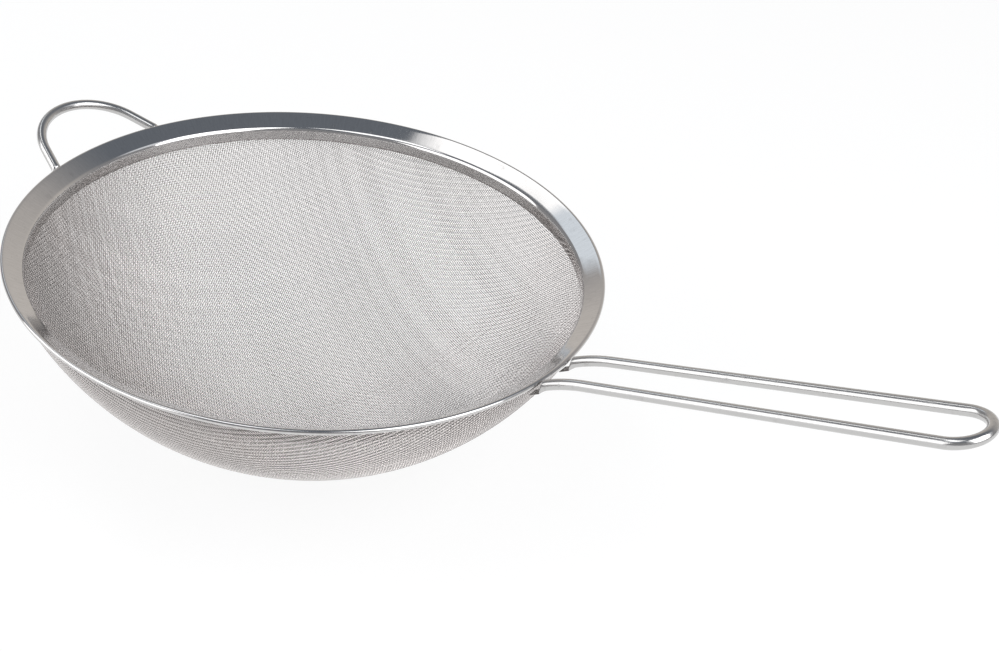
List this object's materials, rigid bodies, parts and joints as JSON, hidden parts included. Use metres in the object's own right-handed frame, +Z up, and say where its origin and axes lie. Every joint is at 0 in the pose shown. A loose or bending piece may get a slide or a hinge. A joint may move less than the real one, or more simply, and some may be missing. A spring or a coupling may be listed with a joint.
{
  "type": "wire sieve",
  "caption": "Fine-mesh wire sieve: a round woven bowl in a flanged steel rim, with a long wire handle and a small rest loop opposite it, welded together.",
  "frame": {"origin": "centre of the rim, on the bowl's axis, level with the rim's top edge", "axes": "+Z up out of the bowl along its axis, +X towards the long handle, the rest loop at -X"},
  "size_m": [0.4237, 0.24, 0.1406],
  "materials": {
    "rim_steel": "stainless sheet, brushed along the rim and polished",
    "mesh_steel": "stainless wire cloth, bright",
    "wire_steel": "stainless wire, polished",
    "weld": "weld bead, dull"
  },
  "bodies": {
    "root": {"rim": "rim_steel", "clamp_ring": "rim_steel", "warp_wires": "mesh_steel", "weft_wires": "mesh_steel", "handle": "wire_steel", "rest_loop": "wire_steel", "handle_weld_left": "weld", "handle_weld_right": "weld", "loop_weld_left": "weld", "loop_weld_right": "weld"}
  },
  "joints": []
}
